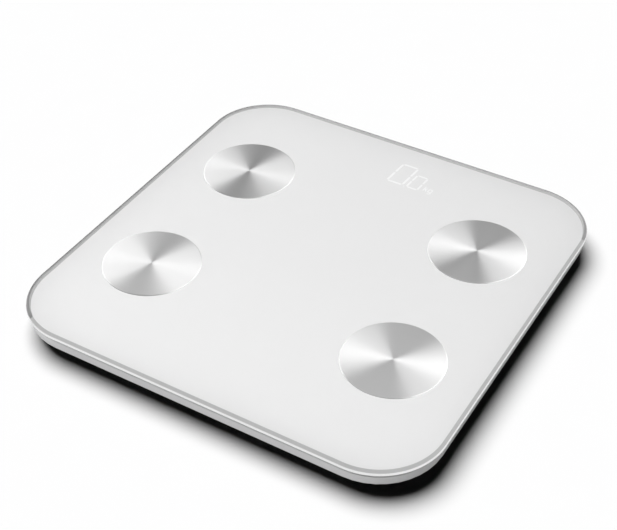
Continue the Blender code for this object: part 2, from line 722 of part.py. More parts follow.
def build_battery_door():
    edge = DOOR_THICKNESS / 2
    outline = rounded_points(door_half_x, door_half_y, 1.5 * MM, 3)
    door = plate("battery_door", [outline], pan_bottom, door_top, housing_white,
                 edge_round=edge - 0.05 * MM, steps=1)
    hinge = bpy.data.objects.new("battery_door_hinge", None)
    hinge.location = (0, hinge_y, hinge_z)
    cutters.objects.link(hinge)
    bm = bmesh.new()
    for sign in (-1, 1):
        bmesh.ops.create_cone(bm, cap_ends=True, segments=12, radius1=HINGE_BARREL_RADIUS,
                              radius2=HINGE_BARREL_RADIUS, depth=HINGE_BARREL_LENGTH,
                              matrix=Matrix.Translation((sign * HINGE_SPACING / 2, hinge_y, hinge_z))
                              @ Matrix.Rotation(math.radians(90), 4, "Y"))
    join(door, place("hinge_barrels", mesh_of(bm, "hinge_barrels"), None, cutters))
    latch_y = -door_half_y + FIT
    join(door, boxes("latch_tongue", [((-LATCH_WIDTH / 2, latch_y, pan_bottom + edge),
                                       (LATCH_WIDTH / 2, latch_y + LATCH_THICKNESS, door_top + LATCH_RISE))],
                     collection=cutters))
    door.parent = hinge
    door.matrix_parent_inverse = Matrix.Translation((0, -hinge_y, -hinge_z))
    smooth(door)


# ---------------------------------------------------------------- electronics
def screw(name, centre, seat):
    profile = [
        (0, seat + SCREW_HEAD_HEIGHT), (SCREW_HEAD_RADIUS - 0.5 * MM, seat + SCREW_HEAD_HEIGHT),
        (SCREW_HEAD_RADIUS, seat + 0.4 * SCREW_HEAD_HEIGHT), (SCREW_HEAD_RADIUS, seat + TOUCH),
        (SCREW_RADIUS, seat + TOUCH), (SCREW_RADIUS, seat - SCREW_LENGTH + SCREW_RADIUS),
        (0, seat - SCREW_LENGTH)]
    smooth(turned(name, profile, centre, zinc_steel, segments=16))


def board(name, low, high, z_low, z_high, holes):
    outline = [(low[0], low[1]), (high[0], low[1]), (high[0], high[1]), (low[0], high[1])]
    hole_radius = SCREW_RADIUS + TOUCH
    return plate(name, [outline] + [circle_points(hole, hole_radius, 12) for hole in holes],
                 z_low, z_high, board_green)


def build_main_board():
    board("main_board", (board_min_x, -board_half_y), (board_max_x, board_half_y), board_bottom, board_top,
          board_screws())
    for name, centre in zip(("main_board_screw_left", "main_board_screw_right"), board_screws()):
        screw(name, centre, board_top)
    chip_z = board_top + TOUCH
    chip = CHIP_SIDE / 2
    chip_y = -2 * MM
    processor = boxes("processor_chip", [((board_mid_x - chip, chip_y - chip, chip_z),
                                          (board_mid_x + chip, chip_y + chip, chip_z + CHIP_THICKNESS))],
                      chip_black)
    soften(processor, 0.3 * MM, 1)
    radio_x = board_max_x - RADIO_WIDTH / 2 - 3 * MM
    radio_y = 4 * MM
    radio = boxes("radio_module", [((radio_x - RADIO_WIDTH / 2, radio_y - RADIO_LENGTH / 2, chip_z),
                                    (radio_x + RADIO_WIDTH / 2, radio_y + RADIO_LENGTH / 2,
                                     chip_z + RADIO_THICKNESS))], zinc_steel)
    soften(radio, 0.3 * MM, 1)


def build_button():
    switch_top = board_bottom - TOUCH
    switch_bottom = switch_top - SWITCH_BODY
    plunger_bottom = switch_bottom - SWITCH_PLUNGER
    half = SWITCH_SIDE / 2
    switch = boxes("unit_switch", [((button_x - half, -half, switch_bottom),
                                    (button_x + half, half, switch_top))], chip_black)
    join(switch, cylinders("switch_plunger", [(button_x, 0)], 1.7 * MM, plunger_bottom,
                           switch_bottom + 0.5 * MM, segments=16, collection=cutters))
    face = pan_bottom + BUTTON_RECESS
    flange_bottom = pan_top + TOUCH
    flange_top = flange_bottom + BUTTON_FLANGE_THICKNESS
    soft = 0.5 * MM
    button = turned("unit_button", [
        (0, plunger_bottom - BUTTON_TRAVEL - 0.2 * MM),
        (BUTTON_STEM_RADIUS, plunger_bottom - BUTTON_TRAVEL - 0.2 * MM),
        (BUTTON_STEM_RADIUS, flange_top),
        (BUTTON_FLANGE_RADIUS, flange_top), (BUTTON_FLANGE_RADIUS, flange_bottom),
        (BUTTON_RADIUS, flange_bottom), (BUTTON_RADIUS, face + soft),
        (BUTTON_RADIUS - soft, face), (0, face)], (button_x, 0), button_grey, segments=24)
    smooth(button)


def build_display():
    half_x = DISPLAY_LENGTH / 2
    half_y = DISPLAY_WIDTH / 2
    lightbox = boxes("display_lightbox", [((-half_x, display_y - half_y, display_bottom),
                                           (half_x, display_y + half_y, display_top))], display_white)
    digit_bottom = display_y - BIG_DIGIT_HEIGHT / 2
    well_bottom = display_bottom + DISPLAY_FLOOR
    windows = []
    x = BIG_DIGIT_FIRST_X
    for _ in range(3):
        windows.append((x - BIG_DIGIT_WIDTH / 2, BIG_DIGIT_WIDTH, BIG_DIGIT_HEIGHT))
        x += BIG_DIGIT_PITCH
    small_left = windows[-1][0] + BIG_DIGIT_WIDTH + DIGIT_WALL
    windows.append((small_left, SMALL_DIGIT_WIDTH, SMALL_DIGIT_HEIGHT))
    windows.append((small_left + SMALL_DIGIT_WIDTH + DIGIT_WALL, UNIT_WINDOW_WIDTH, BIG_DIGIT_HEIGHT))
    cut(lightbox, boxes("digit_wells", [((left, digit_bottom, well_bottom),
                                         (left + width, digit_bottom + height, display_top + 1 * MM))
                                        for left, width, height in windows], collection=cutters))
    diffuser_low = display_top + TOUCH
    boxes("display_diffuser", [((-half_x, display_y - half_y, diffuser_low),
                                (half_x, display_y + half_y, diffuser_low + DIFFUSER_THICKNESS))],
          diffuser_white)
    board_half = (DISPLAY_BOARD_LENGTH / 2, DISPLAY_BOARD_WIDTH / 2)
    board("display_board", (-board_half[0], display_y - board_half[1]),
          (board_half[0], display_y + board_half[1]),
          display_board_bottom, display_board_top, display_screws())
    for name, centre in zip(("display_screw_left", "display_screw_right"), display_screws()):
        screw(name, centre, display_board_top)


# ---------------------------------------------------------------- leads
battery_lead_z = cell_axis_z + CONTACT_TAB_RISE
lead_level = board_top + TOUCH + SENSOR_LEAD_RADIUS


def build_leads():
    solder = 4 * MM
    sensor_z = load_cell_top - LOAD_CELL_THICKNESS / 2
    lane = tub_half_y + LEAD_SPACING
    for side, sx, sy in SIDES:
        x = sx * foot_xy
        nut_x = sx * electrode_x
        nut_y = sy * ELECTRODE_SPREAD_Y
        nut_z = glass_bottom - TOUCH - NUT_THICKNESS / 2
        nut_clear = NUT_ACROSS_FLATS / math.sqrt(3) + TOUCH + ELECTRODE_LEAD_RADIUS
        start = [(x, sy * (foot_xy - holder_half + 1 * MM), sensor_z),
                 (x, sy * (foot_xy - holder_half - 3 * MM), sensor_z),
                 (x, sy * (foot_xy - holder_half - 8 * MM), sensor_z + 1.5 * MM)]
        if sx > 0:
            sensor_end = board_max_x - 2.5 * solder
            electrode_end = sensor_end - 1.5 * LEAD_SPACING
            sensor_route = start + [
                (x - 2 * MM, sy * (board_half_y + 22 * MM), lead_level),
                (board_max_x + 4 * MM, sy * (board_half_y + 4 * MM), lead_level),
                (sensor_end, sy * (board_half_y - solder), lead_level)]
            electrode_route = [
                (nut_x - nut_clear, nut_y, nut_z),
                (nut_x - nut_clear - 6 * MM, nut_y - sy * 6 * MM, lead_level),
                (electrode_end + 2 * MM, sy * (board_half_y + 8 * MM), lead_level),
                (electrode_end, sy * (board_half_y - solder), lead_level)]
        else:
            sensor_end = board_min_x + 2.5 * solder
            electrode_end = sensor_end + LEAD_SPACING
            sensor_route = start + [
                (x + 4 * MM, sy * (lane + 22 * MM), lead_level),
                (-tub_half_x - 12 * MM, sy * (lane + 4 * MM), lead_level),
                (-tub_half_x / 2, sy * lane, lead_level),
                (tub_half_x, sy * lane, lead_level),
                (sensor_end - 1 * MM, sy * (board_half_y + 3 * MM), lead_level),
                (sensor_end, sy * (board_half_y - solder), lead_level)]
            electrode_route = [
                (nut_x + nut_clear, nut_y, nut_z),
                (nut_x + nut_clear + 8 * MM, nut_y - sy * 5 * MM, lead_level),
                (-tub_half_x - 6 * MM, sy * (lane + 2.5 * LEAD_SPACING), lead_level),
                (0, sy * (lane + LEAD_SPACING), lead_level),
                (tub_half_x, sy * (lane + LEAD_SPACING), lead_level),
                (electrode_end - 0.5 * MM, sy * (board_half_y + 5 * MM), lead_level),
                (electrode_end, sy * (board_half_y - solder), lead_level)]
        lead("load_cell_lead_" + side, sensor_route, SENSOR_LEAD_RADIUS, lead_white)
        lead("electrode_lead_" + side, electrode_route, ELECTRODE_LEAD_RADIUS, lead_black)

    lead("battery_lead_positive", [
        (bay_half_x, -cell_pitch, battery_lead_z),
        (bay_half_x + BAY_WALL / 2, -cell_pitch, battery_lead_z),
        (tub_half_x + 0.5 * MM, -cell_pitch, battery_lead_z),
        (board_min_x - 1 * MM, -cell_pitch, lead_level),
        (board_min_x + solder, -cell_pitch, lead_level)], BATTERY_LEAD_RADIUS, lead_red)
    around = tub_half_y + LEAD_SPACING / 2
    lead("battery_lead_negative", [
        (-bay_half_x, cell_pitch, battery_lead_z),
        (-bay_half_x - BAY_WALL / 2, cell_pitch, battery_lead_z),
        (-tub_half_x - 3 * MM, cell_pitch, battery_lead_z),
        (-tub_half_x - 6 * MM, cell_pitch - 5 * MM, battery_lead_z),
        (-tub_half_x - 6 * MM, 0, battery_lead_z),
        (-tub_half_x - 5 * MM, -tub_half_y + 4 * MM, battery_lead_z),
        (-tub_half_x - 1.5 * MM, -tub_half_y - 1.5 * MM, battery_lead_z),
        (-tub_half_x + 4 * MM, -around, battery_lead_z),
        (0, -around, lead_level),
        (tub_half_x - 1 * MM, -around, lead_level),
        (board_min_x, -board_half_y + 1 * MM, lead_level),
        (board_min_x + solder, -board_half_y + 5 * MM, lead_level)], BATTERY_LEAD_RADIUS, lead_black)

    cable_x = DISPLAY_LENGTH / 2 - 6 * MM
    cable_start_y = display_y - DISPLAY_BOARD_WIDTH / 2 - 2 * TOUCH
    cable_z = display_board_bottom + BOARD_THICKNESS / 2
    cable_end_x = board_min_x + 5.5 * solder
    cable_level = board_top + TOUCH + DISPLAY_CABLE_RADIUS
    lead("display_cable", [
        (cable_x, cable_start_y, cable_z),
        (cable_x + 1 * MM, cable_start_y - 8 * MM, cable_z),
        ((cable_x + cable_end_x) / 2, (cable_start_y + board_half_y) / 2, cable_level),
        (cable_end_x, board_half_y + 6 * MM, cable_level),
        (cable_end_x, board_half_y - solder, cable_level)], DISPLAY_CABLE_RADIUS, lead_white)


build_platform()
build_electrodes()
build_housing()
build_feet()
build_load_cells()
build_batteries()
build_contacts()
build_battery_door()
build_main_board()
build_button()
build_display()
build_leads()
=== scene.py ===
"""Digital bathroom scale: finishes, fine pieces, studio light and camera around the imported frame."""

import json
import math

import bmesh
import bpy
from mathutils import Matrix, Vector


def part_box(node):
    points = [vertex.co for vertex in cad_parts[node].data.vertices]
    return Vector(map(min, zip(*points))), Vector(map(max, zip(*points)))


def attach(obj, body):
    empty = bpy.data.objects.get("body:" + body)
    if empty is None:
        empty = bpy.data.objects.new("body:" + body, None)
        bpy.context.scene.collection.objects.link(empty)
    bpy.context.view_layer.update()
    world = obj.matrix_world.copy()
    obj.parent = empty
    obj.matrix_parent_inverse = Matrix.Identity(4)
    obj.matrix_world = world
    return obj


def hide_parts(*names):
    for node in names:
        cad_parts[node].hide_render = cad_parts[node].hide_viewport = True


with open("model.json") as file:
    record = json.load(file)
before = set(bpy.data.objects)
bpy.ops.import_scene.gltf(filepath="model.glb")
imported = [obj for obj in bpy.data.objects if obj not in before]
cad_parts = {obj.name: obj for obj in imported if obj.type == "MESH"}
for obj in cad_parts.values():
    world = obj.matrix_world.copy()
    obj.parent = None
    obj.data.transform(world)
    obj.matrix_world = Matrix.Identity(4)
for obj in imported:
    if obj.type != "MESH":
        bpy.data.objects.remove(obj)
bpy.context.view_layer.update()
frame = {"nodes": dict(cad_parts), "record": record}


def shade(value, warm=0.0):
    """A near-grey colour; warm above 0 is yellower and below 0 is bluer."""
    return (value + warm, value, value - warm, 1.0)


MM = 0.001
SIDES = ("front_left", "front_right", "back_left", "back_right")
CORNER_STEPS = 32
HOLE_STEPS = 48
DISC_STEPS = 144
PAD_STEPS = 96
WELD_DISTANCE = 0.002 * MM
SMOOTH_BELOW = math.radians(30)

# Platform glass, and the white ink laid inside its underside
GLASS_CORNER = 45 * MM
EDGE_STEPS = 16
STUD_HOLE = 3 * MM
DRILL_OVERRUN = 1 * MM
INK_INSET = 3.0 * MM
INK_LOW = 17.01 * MM
INK_HIGH = 17.06 * MM

# Grey border, painted shade inside the lower half of the round edge. Angles are in degrees below level
BORDER_PAINTED_SHADE = 0.55
BORDER_OUTER_ANGLE = 8
BORDER_INNER_ANGLE = 88
BORDER_DEPTHS = (0.03 * MM, 0.08 * MM)
BORDER_STEPS = 10
BORDER_WELD = 0.001 * MM

# Steel discs: a stud below, a seat over the glass, a rounded edge and a small middle dimple
STUD_RADIUS = 2 * MM
STUD_BEVEL = 0.4 * MM
DISC_SEAT = 22.06 * MM
SEAT_SLOPE = 0.24 * MM
SEAT_INSET = 1.2 * MM
RIM_INSET = 0.9 * MM
DISC_EDGE = 0.35 * MM
DISC_EDGE_STEPS = 8
DIMPLE_RADII = (1.0 * MM, 0.5 * MM)
DIMPLE_DEPTHS = (0.03 * MM, 0.05 * MM)
TURNED_SPAN = 288

# Lit display signs, laid on the ink inside the glass. A nought has its left, right, foot and top
# lines, then its stroke's width, of which the gap and the inset are parts
SIGN_LOW = 17.07 * MM
SIGN_HIGH = 17.09 * MM
SIGN_SLANT = 0.075
LARGE_NOUGHT = (-1.1 * MM, 11.2 * MM, 105.0 * MM, 127.9 * MM, 1.6 * MM)
SMALL_NOUGHT = (14.8 * MM, 23.3 * MM, 104.7 * MM, 120.5 * MM, 1.35 * MM)
SEGMENT_GAP = 0.22
SEGMENT_INSET = 0.28
POINT_CENTRE = (13.0 * MM, 104.0 * MM)
POINT_RADIUS = 0.5 * MM
POINT_STEPS = 16

# Unit sign: where its letters stand, and their strokes from there in millimetres
UNIT_CORNER = (27.2 * MM, 106.2 * MM)
UNIT_FOOT = 105 * MM
UNIT_STROKE = 0.8 * MM
LETTER_K = (((0, 0), (0, 5.4)), ((0, 2.0), (2.2, 3.8)), ((0.9, 2.6), (2.3, 0)))
LETTER_G = (((3.6, 0.2), (3.6, 3.6)), ((3.6, 3.6), (6.2, 3.6)), ((3.6, 0.2), (6.2, 0.2)),
            ((6.2, 3.6), (6.2, -1.6)), ((6.2, -1.6), (3.8, -1.6)))

# Rubber pads: raised rings on the floor side. Outlines are (distance outwards, height) pairs
PAD_GROOVE = 0.45 * MM
PAD_MARGIN = 3.0 * MM
PAD_RING_PITCH = 3.4 * MM
PAD_RING = ((0, PAD_GROOVE), (0.35 * MM, 0.08 * MM), (0.75 * MM, 0),
            (1.55 * MM, 0), (1.95 * MM, 0.08 * MM), (2.3 * MM, PAD_GROOVE))
PAD_RIM = ((-1.6 * MM, PAD_GROOVE), (-1.3 * MM, 0.1 * MM), (-0.9 * MM, 0),
           (-0.5 * MM, 0.06 * MM), (-0.12 * MM, 0.35 * MM), (0, 0.7 * MM))
PAD_BEVEL = 0.1 * MM

# Cells: half the length of the printed jacket, and where its second colour starts
JACKET_HALF = 21.6 * MM
JACKET_BAND = 9 * MM

# Camera
LOOK_AT = Vector((0.00004, -0.00884, 0.022))
CAMERA_AZIMUTH = math.radians(31.16)
CAMERA_ELEVATION = math.radians(40.33)
CAMERA_ROLL = math.radians(-0.59)
CAMERA_DISTANCE = 0.867
CAMERA_LENS = 75.51
SENSOR = 36.0
NEAREST_SEEN = 0.01
FARTHEST_SEEN = 50

# Painted shade on the round glass edge: its tint by height, from the glass's underside (0) to its top
# (1), grey just under the top
CLEAR = shade(0.985)
EDGE_PAINTED_SHADE = shade(0.36)
EDGE_SHADE_TINTS = ((0.0, CLEAR), (0.74, CLEAR), (0.80, EDGE_PAINTED_SHADE), (0.9975, EDGE_PAINTED_SHADE), (0.9995, CLEAR))

# Broad light, paper floor and room. Aims are azimuth and elevation in degrees
BROAD_AIM = (65, 66)
BROAD_POWER = 2.18
BROAD_SPREAD = math.radians(50)
FLOOR_POWER = 68.0
FLOOR_HALF = 6.0
PAPER_SHADE = 0.05
ROOM_DIFFUSE = 0.01
ROOM_REFLECTED = 0.38

# Fill lamps: name, azimuth, elevation and power
FILL_DISTANCE = 0.9
FILL_SIZE = 0.5
FILL_LAMPS = (("front_lamp", 178, 20, 2.2), ("left_lamp", 112, 35, 1.4))

# Lamps that light only the discs: name, azimuth, elevation, distance, size and power
DISC_LAMPS = (("left_disc_lamp", 72.7, 17.3, 2.01, 2.56, 37.0),
              ("right_disc_lamp", -62.2, 25.5, 0.97, 2.41, 29.0),
              ("back_disc_lamp", -17.6, 25.0, 2.96, 2.54, 26.2),
              ("top_disc_lamp", -150.8, 88.0, 0.3, 0.26, 0.16))


# --- Shader maths -------------------------------------------------------------------------------


class Flow:
    """One output in a material's nodes. Arithmetic on it adds Math nodes."""

    def __init__(self, finish, socket):
        self.finish = finish
        self.socket = socket

    def _math(self, operation, *values):
        return self.finish.node("Math", {"operation": operation}, dict(enumerate(values)))

    def __add__(self, other):
        return self._math("ADD", self, other)

    def __sub__(self, other):
        return self._math("SUBTRACT", self, other)

    def __rsub__(self, other):
        return self._math("SUBTRACT", other, self)

    def __mul__(self, other):
        return self._math("MULTIPLY", self, other)

    def __truediv__(self, other):
        return self._math("DIVIDE", self, other)

    __radd__ = __add__
    __rmul__ = __mul__

    def above(self, limit):
        return self._math("GREATER_THAN", self, limit)

    def sine(self):
        return self._math("SINE", self)

    def root(self):
        return self._math("SQRT", self)

    def unsigned(self):
        return self._math("ABSOLUTE", self)


class Finish:
    """A material under construction."""

    def __init__(self, name):
        self.material = bpy.data.materials.new(name)
        self.material.use_nodes = True
        self.tree = self.material.node_tree
        self.tree.nodes.clear()

    def node(self, kind, settings=None, sockets=None, output=0):
        """Adds a node, sets its settings, then fills or links its sockets. Returns one output."""
        made = self.tree.nodes.new("ShaderNode" + kind)
        for key, value in (settings or {}).items():
            if key == "stops":
                self._set_stops(made.color_ramp, value)
            else:
                setattr(made, key, value)
        for key, value in (sockets or {}).items():
            if isinstance(value, Flow):
                self.tree.links.new(value.socket, made.inputs[key])
            else:
                made.inputs[key].default_value = value
        return Flow(self, made.outputs[output]) if made.outputs else made

    @staticmethod
    def _set_stops(ramp, stops):
        while len(ramp.elements) < len(stops):
            ramp.elements.new(1.0)
        for element, (position, colour) in zip(ramp.elements, stops):
            element.position = position
            element.color = colour

    def place(self, which="Object"):
        return self.node("TexCoord", {}, {}, which)

    def axes(self, vector):
        made = self.node("SeparateXYZ", {}, {"Vector": vector}, "X")
        return [Flow(self, made.socket.node.outputs[axis]) for axis in "XYZ"]

    def noise(self, vector, scale, detail=2.0, roughness=0.5):
        return self.node("TexNoise", {}, {"Vector": vector, "Scale": scale, "Detail": detail,
                                          "Roughness": roughness})

    def stretched(self, vector, factors):
        return self.node("Mapping", {}, {"Vector": vector, "Scale": factors})

    def blend(self, factor, first, second):
        """A colour between two colours."""
        return self.node("Mix", {"data_type": "RGBA"}, {"Factor": factor, 6: first, 7: second}, 2)

    def bump(self, height, distance, strength=1.0):
        return self.node("Bump", {}, {"Height": height, "Distance": distance,
                                      "Strength": strength}, "Normal")

    def principled(self, **sockets):
        """The Principled shader. Keywords name its sockets, with spaces as underscores."""
        names = {key.replace("_", " "): value for key, value in sockets.items()}
        return self.node("BsdfPrincipled", {}, names)

    def surface(self, shader):
        self.node("OutputMaterial", {}, {"Surface": shader})
        return self.material


# --- Finishes -----------------------------------------------------------------------------------


def toughened_glass():
    """Clear glass with painted shade: its round edge is tinted grey just under its top."""
    finish = Finish("toughened_glass")
    place = finish.place()
    smear = finish.noise(finish.stretched(place, (1.0, 2.4, 1.0)), 18.0, 3.0)
    low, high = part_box("glass_platform")
    _, _, level = finish.axes(place)
    # The grey band in this tint is painted shade on the edge, not a finish of the glass.
    painted_edge_shade = finish.node("ValToRGB", {"stops": EDGE_SHADE_TINTS},
                         {"Fac": (level - low.z) / (high.z - low.z)})
    glass = finish.principled(
        Base_Color=painted_edge_shade, Roughness=smear * 0.012, IOR=1.5,
        Transmission_Weight=1.0, Specular_IOR_Level=0.5)
    lamp_side = finish.node("BsdfTransparent", {}, {"Color": shade(0.98)})
    lamp_ray = finish.node("LightPath", {}, {}, "Is Shadow Ray")
    return finish.surface(finish.node("MixShader", {}, {0: lamp_ray, 1: glass, 2: lamp_side}))


def ink(name, first, second):
    """Ink printed on the glass, seen through it. The grey border made with it is painted shade."""
    finish = Finish(name)
    place = finish.place()
    cloud = finish.noise(place, 9.0, 3.0)
    screen = finish.noise(place, 900.0, 2.0)
    colour = finish.blend(cloud, shade(first), shade(second))
    return finish.surface(finish.principled(
        Base_Color=colour, Roughness=screen * 0.1 + 0.5,
        Normal=finish.bump(screen, 0.01 * MM)))


def turned_steel():
    """Circular tool marks around the middle of each disc, TURNED_SPAN noise units across it."""
    finish = Finish("turned_steel")
    place = finish.place("Generated")
    across, along, _ = finish.axes(place)
    across = (across - 0.5) * TURNED_SPAN
    along = (along - 0.5) * TURNED_SPAN
    radius = (across * across + along * along).root()
    marks = finish.node("TexNoise", {"noise_dimensions": "1D"},
                        {"W": radius, "Scale": 2.2, "Detail": 4.0, "Roughness": 0.7})
    colour = finish.blend(marks, shade(0.58), shade(0.68))
    return finish.surface(finish.principled(
        Base_Color=colour, Metallic=1.0, Roughness=marks * 0.08 + 0.38, Anisotropic=0.88,
        Anisotropic_Rotation=0.25, Normal=finish.bump(marks, 0.004 * MM)))


def moulded(name, colour, roughness=0.42, grain=1400.0, depth=0.02 * MM):
    """Moulded plastic with a fine eroded grain and slight flow marks."""
    finish = Finish(name)
    place = finish.place()
    speck = finish.noise(place, grain, 3.0, 0.6)
    flow = finish.noise(place, 14.0, 2.0)
    darker = tuple(channel * 0.93 for channel in colour[:3]) + (1.0,)
    return finish.surface(finish.principled(
        Base_Color=finish.blend(flow, darker, colour), Roughness=speck * 0.16 + roughness,
        Normal=finish.bump(speck, depth)))


def rolled_metal(name, colour, roughness=0.3, stretch=(40.0, 900.0, 900.0)):
    """Sheet metal with a rolled or drawn direction."""
    finish = Finish(name)
    place = finish.place()
    lines = finish.noise(finish.stretched(place, stretch), 1.0, 3.0, 0.6)
    stain = finish.noise(place, 60.0, 2.0)
    darker = tuple(channel * 0.82 for channel in colour[:3]) + (1.0,)
    return finish.surface(finish.principled(
        Base_Color=finish.blend(stain * 0.5 + lines * 0.5, darker, colour), Metallic=1.0,
        Roughness=lines * 0.2 + roughness, Normal=finish.bump(lines, 0.005 * MM)))


def rubber(name, colour):
    finish = Finish(name)
    place = finish.place()
    speck = finish.noise(place, 2500.0, 3.0, 0.7)
    dust = finish.noise(place, 55.0, 3.0, 0.65)
    lighter = tuple(min(1.0, channel * 1.35) for channel in colour[:3]) + (1.0,)
    return finish.surface(finish.principled(
        Base_Color=finish.blend(dust, colour, lighter), Roughness=dust * 0.12 + 0.7,
        Normal=finish.bump(speck, 0.03 * MM)))


def foam_tape():
    finish = Finish("foam_tape")
    place = finish.place()
    cells = finish.node("TexVoronoi", {}, {"Vector": place, "Scale": 1800.0})
    return finish.surface(finish.principled(
        Base_Color=finish.blend(cells, shade(0.78), shade(0.9)), Roughness=cells * 0.2 + 0.7,
        Normal=finish.bump(cells, 0.05 * MM)))


def circuit_board():
    """Green solder mask over square-cut copper tracks, with tinned pads."""
    finish = Finish("circuit_board")
    place = finish.place()
    cells = finish.node("TexVoronoi", {"distance": "CHEBYCHEV", "feature": "F1"},
                        {"Vector": place, "Scale": 260.0, "Randomness": 0.7})
    runs = finish.node("TexVoronoi", {"distance": "MANHATTAN", "feature": "F1"},
                       {"Vector": place, "Scale": 420.0, "Randomness": 0.9})
    track = (runs * 30.0).sine().above(0.25)
    pad = 1.0 - cells.above(0.16)
    mask = finish.blend(track, (0.006, 0.085, 0.035, 1.0), (0.014, 0.16, 0.07, 1.0))
    colour = finish.blend(pad, mask, shade(0.62))
    return finish.surface(finish.principled(
        Base_Color=colour, Metallic=pad * 0.9, Roughness=0.42 - pad * 0.12,
        Normal=finish.bump(track + pad, 0.02 * MM)))


def cell_jacket():
    """A shrink-wrapped cell: plain printed jacket, bare metal ends."""
    finish = Finish("cell_jacket")
    place = finish.place()
    along, _, _ = finish.axes(place)
    end = along.unsigned().above(JACKET_HALF)
    band = along.above(JACKET_BAND)
    print_grain = finish.noise(place, 700.0, 2.0)
    jacket = finish.blend(band, (0.03, 0.09, 0.2, 1.0), shade(0.55))
    jacket = finish.blend(print_grain * 0.15, jacket, shade(0.3))
    return finish.surface(finish.principled(
        Base_Color=finish.blend(end, jacket, shade(0.75)), Metallic=end,
        Roughness=print_grain * 0.1 + 0.26, Normal=finish.bump(print_grain, 0.005 * MM)))


def wire_cover(name, colour):
    finish = Finish(name)
    place = finish.place()
    drawn = finish.noise(place, 1200.0, 2.0)
    lighter = tuple(min(1.0, channel + 0.05) for channel in colour[:3]) + (1.0,)
    return finish.surface(finish.principled(
        Base_Color=finish.blend(drawn, colour, lighter), Roughness=drawn * 0.15 + 0.36,
        Normal=finish.bump(drawn, 0.01 * MM)))


def lit_sign():
    """Light from the display behind, softened by the ink."""
    finish = Finish("lit_sign")
    place = finish.place()
    soft = finish.noise(place, 160.0, 1.0)
    return finish.surface(finish.principled(
        Base_Color=finish.blend(soft, shade(0.88), shade(0.92)), Roughness=soft * 0.1 + 0.5,
        Emission_Color=finish.blend(soft, (0.95, 0.98, 1.0, 1.0), (1.0, 1.0, 1.0, 1.0)),
        Emission_Strength=0.12))


def studio_paper():
    finish = Finish("studio_paper")
    place = finish.place()
    tooth = finish.noise(place, 40.0, 2.0)
    return finish.surface(finish.principled(
        Base_Color=finish.blend(tooth, shade(PAPER_SHADE), shade(PAPER_SHADE * 1.01)),
        Roughness=0.9, Specular_IOR_Level=0.0))


FINISHES = {
    "glass_platform": toughened_glass(),
    "bond_tape": foam_tape(),
    "housing_plastic": moulded("housing_plastic", shade(0.62)),
    "electrode_steel": turned_steel(),
    "zinc_steel": rolled_metal("zinc_steel", (0.66, 0.67, 0.70, 1.0), roughness=0.28),
    "cell_steel": rolled_metal("cell_steel", shade(0.58), roughness=0.34,
                               stretch=(900.0, 60.0, 900.0)),
    "holder_plastic": moulded("holder_plastic", shade(0.72), roughness=0.38),
    "foot_plastic": moulded("foot_plastic", shade(0.55), roughness=0.40),
    "foot_rubber": rubber("foot_rubber", shade(0.22)),
    "circuit_board": circuit_board(),
    "chip_plastic": moulded("chip_plastic", shade(0.025), roughness=0.40, grain=3000.0,
                            depth=0.01 * MM),
    "display_reflector": moulded("display_reflector", shade(0.88), roughness=0.34, grain=2200.0,
                                 depth=0.01 * MM),
    "display_film": moulded("display_film", shade(0.82), roughness=0.55, grain=2600.0,
                            depth=0.008 * MM),
    "battery_jacket": cell_jacket(),
    "contact_nickel": rolled_metal("contact_nickel", (0.74, 0.72, 0.68, 1.0), roughness=0.22),
    "button_plastic": moulded("button_plastic", shade(0.40), roughness=0.36),
    "lead_black": wire_cover("lead_black", shade(0.02)),
    "lead_red": wire_cover("lead_red", (0.5, 0.02, 0.015, 1.0)),
    "lead_white": wire_cover("lead_white", shade(0.78)),
}


# --- Mesh building ------------------------------------------------------------------------------


def centre_of(node):
    low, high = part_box(node)
    return (low + high) / 2


def rounded_square(half, corner):
    """The outline of a square with round corners, as (x, y) points."""
    points = []
    for turn, (right, up) in enumerate(((1, 1), (-1, 1), (-1, -1), (1, -1))):
        for step in range(CORNER_STEPS + 1):
            angle = math.radians(90 * (turn + step / CORNER_STEPS))
            points.append((right * (half - corner) + corner * math.cos(angle),
                           up * (half - corner) + corner * math.sin(angle)))
    return points


def circle(radius, steps, centre):
    return [(centre[0] + radius * math.cos(2 * math.pi * step / steps),
             centre[1] + radius * math.sin(2 * math.pi * step / steps)) for step in range(steps)]


def new_piece(name, mesh_tool, finish, smooth_over=None):
    """Makes an object from a bmesh. The faces that smooth_over picks, or all, are shaded smooth."""
    mesh = bpy.data.meshes.new(name)
    bmesh.ops.recalc_face_normals(mesh_tool, faces=mesh_tool.faces)
    for face in mesh_tool.faces:
        face.smooth = smooth_over is None or smooth_over(face)
    mesh_tool.to_mesh(mesh)
    mesh_tool.free()
    mesh.materials.append(finish)
    piece = bpy.data.objects.new(name, mesh)
    bpy.context.scene.collection.objects.link(piece)
    return piece


def skin(mesh_tool, rings, capped=True):
    """Joins rings of the same number of (x, y, z) points with faces, and caps the two ends."""
    rows = [[mesh_tool.verts.new(point) for point in ring] for ring in rings]
    for lower, upper in zip(rows, rows[1:]):
        count = len(lower)
        for k in range(count):
            mesh_tool.faces.new((lower[k], lower[(k + 1) % count],
                                 upper[(k + 1) % count], upper[k]))
    if capped:
        mesh_tool.faces.new(reversed(rows[0]))
        mesh_tool.faces.new(rows[-1])


def flat_layer(mesh_tool, outline, low, high):
    """A flat plate of this (x, y) outline between two heights."""
    skin(mesh_tool, [[(x, y, z) for x, y in outline] for z in (low, high)])


